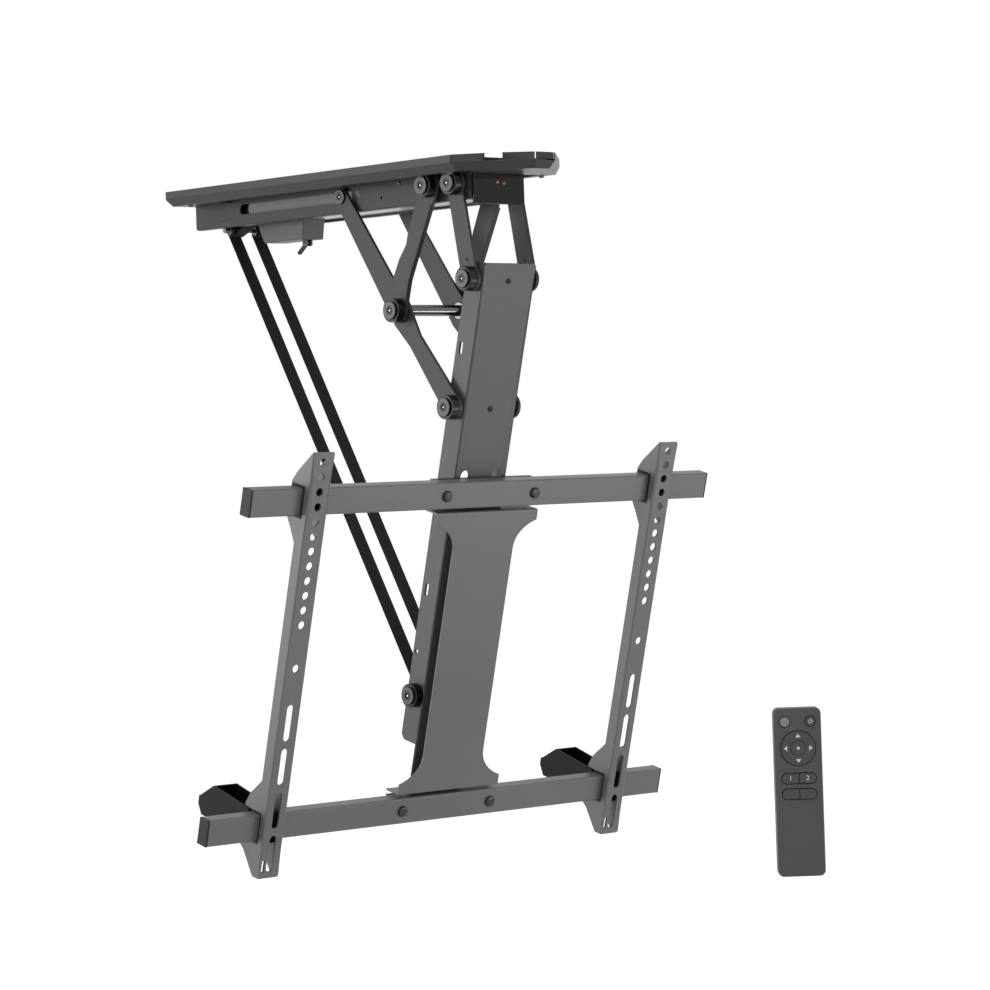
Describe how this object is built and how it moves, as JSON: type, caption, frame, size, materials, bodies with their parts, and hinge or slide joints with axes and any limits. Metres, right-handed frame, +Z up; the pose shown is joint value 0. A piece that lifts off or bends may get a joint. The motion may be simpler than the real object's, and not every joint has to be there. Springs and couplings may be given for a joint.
{
  "type": "motorized tv ceiling mount",
  "caption": "Flip-down ceiling mount for a flat screen: a rail box with drum, belts and links lowers a channel arm with cross bars and two slotted screen arms; remote control beside it.",
  "frame": {"origin": "centre of the ceiling bolt pattern, on the face that lies against the ceiling", "axes": "+Z up into the ceiling, -Y towards the viewer, the side the lowered screen faces, +X along the cross bars to the right"},
  "size_m": [0.63, 0.7181, 0.739],
  "materials": {
    "coated_steel": "black powder coat, fine texture",
    "bare_steel": "zinc plated",
    "bolt_steel": "dull grey ring, turned",
    "black_plastic": "moulded, satin",
    "dark_window": "polished, infrared-clear",
    "red_lens": "polished",
    "webbing": "woven lifting belt",
    "board_green": "circuit board",
    "motor_steel": "black can",
    "gear_metal": "die cast",
    "remote_plastic": "moulded, satin",
    "remote_dark": "moulded",
    "key_plastic": "moulded key",
    "key_grey": "moulded key",
    "cells": "battery cells"
  },
  "bodies": {
    "ceiling_unit": {"ceiling_plate": "coated_steel", "cover_tray": "coated_steel", "side_rail_left": "coated_steel", "side_rail_right": "coated_steel", "cross_plates": "coated_steel", "belly_pan": "coated_steel", "slot_guides": "bare_steel", "sensor_panel": "dark_window", "sensor_lights": "red_lens", "circuit_boards": "board_green", "lift_motor": "motor_steel", "gear_head": "gear_metal", "drum_brackets": "bare_steel", "control_box": "black_plastic", "power_inlet": "black_plastic", "unit_screws": "bare_steel", "rail_pivot_bolts": "bolt_steel", "rail_pivot_sleeves": "black_plastic", "remote_face": "remote_plastic", "remote_back": "remote_dark", "remote_batteries": "cells"},
    "front_link": {"front_links": "coated_steel"},
    "arm": {"arm_channel": "coated_steel", "arm_bolts": "bolt_steel", "arm_sleeves": "black_plastic", "belt_anchor": "bolt_steel", "bar_saddles": "coated_steel", "upper_bar": "coated_steel", "lower_bar": "coated_steel", "bar_end_caps": "black_plastic", "centre_plate": "coated_steel", "frame_screws": "bare_steel"},
    "middle_link": {"link_b_left": "coated_steel", "link_b_right": "coated_steel", "link_b_bolts": "bolt_steel", "link_b_sleeves": "black_plastic"},
    "crossing_link": {"link_a_left": "coated_steel", "link_a_right": "coated_steel", "link_a_bolts": "bolt_steel", "link_a_sleeves": "black_plastic", "cross_shaft": "coated_steel"},
    "sliders": {"slider_blocks": "bare_steel"},
    "belts": {"lift_belts": "webbing"},
    "drum": {"belt_drum": "bare_steel"},
    "rollers": {"guide_rollers": "bare_steel"},
    "lever": {"limit_lever": "black_plastic"},
    "screen_arm_left_set": {"screen_arm_left": "coated_steel", "arm_liners_left": "black_plastic", "bumper_left": "coated_steel"},
    "screen_arm_right_set": {"screen_arm_right": "coated_steel", "arm_liners_right": "black_plastic", "bumper_right": "coated_steel"},
    "key_lamp_body": {"key_lamp": "key_grey"},
    "key_power_body": {"key_power": "key_grey"},
    "key_ring_body": {"key_ring": "key_plastic"},
    "key_ok_body": {"key_ok": "key_plastic"},
    "key_one_body": {"key_one": "key_plastic"},
    "key_two_body": {"key_two": "key_plastic"},
    "key_store_one_body": {"key_store_one": "key_plastic"},
    "key_store_two_body": {"key_store_two": "key_plastic"}
  },
  "joints": [
    {"name": "lift", "type": "hinge", "parent": "ceiling_unit", "child": "front_link", "pos_m": [0, -0.172, -0.025], "axis": [-1, 0, 0], "range_deg": [0, 52.01]},
    {"name": "arm_fold", "type": "hinge", "parent": "front_link", "child": "arm", "pos_m": [0, -0.1904, -0.1238], "axis": [1, 0, 0], "range_deg": [0, 127.01]},
    {"name": "middle_link_turn", "type": "hinge", "parent": "ceiling_unit", "child": "middle_link", "pos_m": [0, -0.1366, -0.025], "axis": [1, 0, 0], "range_deg": [0, 55.84]},
    {"name": "crossing_link_turn", "type": "hinge", "parent": "middle_link", "child": "crossing_link", "pos_m": [0, -0.0815, -0.1502], "axis": [-1, 0, 0], "range_deg": [0, 100.28]},
    {"name": "slider_travel", "type": "slide", "parent": "ceiling_unit", "child": "sliders", "axis": [0, 1, 0], "range_m": [0, 0.14067]},
    {"name": "belt_swing", "type": "hinge", "parent": "ceiling_unit", "child": "belts", "pos_m": [0, 0.223, -0.0454], "axis": [-1, 0, 0], "range_deg": [0, 27.83], "deforming": ["lift_belts"]},
    {"name": "drum_spin", "type": "hinge", "parent": "ceiling_unit", "child": "drum", "pos_m": [0, 0.1985, -0.0226], "axis": [1, 0, 0], "range_deg": [0, 2124.52]},
    {"name": "roller_spin", "type": "hinge", "parent": "ceiling_unit", "child": "rollers", "pos_m": [0, 0.223, -0.0454], "axis": [1, 0, 0], "range_deg": [0, 6161.1]},
    {"name": "lever_press", "type": "hinge", "parent": "ceiling_unit", "child": "lever", "pos_m": [0, 0.12, -0.0652], "axis": [1, 0, 0], "range_deg": [0, 20], "stiffness_Nm_per_rad": 0.05},
    {"name": "arm_left_slide", "type": "slide", "parent": "arm", "child": "screen_arm_left_set", "axis": [1, 0, 0], "range_m": [-0.059, 0.138]},
    {"name": "arm_right_slide", "type": "slide", "parent": "arm", "child": "screen_arm_right_set", "axis": [1, 0, 0], "range_m": [-0.138, 0.059]},
    {"name": "key_lamp_press", "type": "slide", "parent": "ceiling_unit", "child": "key_lamp_body", "axis": [0.6691, 0.7431, 0], "range_m": [0, 0.0008], "stiffness_N_per_m": 600},
    {"name": "key_power_press", "type": "slide", "parent": "ceiling_unit", "child": "key_power_body", "axis": [0.6691, 0.7431, 0], "range_m": [0, 0.0008], "stiffness_N_per_m": 600},
    {"name": "key_ring_press", "type": "slide", "parent": "ceiling_unit", "child": "key_ring_body", "axis": [0.6691, 0.7431, 0], "range_m": [0, 0.0008], "stiffness_N_per_m": 600},
    {"name": "key_ok_press", "type": "slide", "parent": "ceiling_unit", "child": "key_ok_body", "axis": [0.6691, 0.7431, 0], "range_m": [0, 0.0008], "stiffness_N_per_m": 600},
    {"name": "key_one_press", "type": "slide", "parent": "ceiling_unit", "child": "key_one_body", "axis": [0.6691, 0.7431, 0], "range_m": [0, 0.0008], "stiffness_N_per_m": 600},
    {"name": "key_two_press", "type": "slide", "parent": "ceiling_unit", "child": "key_two_body", "axis": [0.6691, 0.7431, 0], "range_m": [0, 0.0008], "stiffness_N_per_m": 600},
    {"name": "key_store_one_press", "type": "slide", "parent": "ceiling_unit", "child": "key_store_one_body", "axis": [0.6691, 0.7431, 0], "range_m": [0, 0.0008], "stiffness_N_per_m": 600},
    {"name": "key_store_two_press", "type": "slide", "parent": "ceiling_unit", "child": "key_store_two_body", "axis": [0.6691, 0.7431, 0], "range_m": [0, 0.0008], "stiffness_N_per_m": 600}
  ],
  "couplings": [
    {"joint": "arm_fold", "follows": "lift", "ratio": 2.4421},
    {"joint": "middle_link_turn", "follows": "lift", "ratio": 1.0737},
    {"joint": "crossing_link_turn", "follows": "lift", "ratio": 1.9281},
    {"joint": "slider_travel", "follows": "lift", "m_per_rad": 0.15497},
    {"joint": "belt_swing", "follows": "lift", "ratio": 0.53509},
    {"joint": "drum_spin", "follows": "lift", "ratio": 40.849},
    {"joint": "roller_spin", "follows": "lift", "ratio": 118.46}
  ]
}
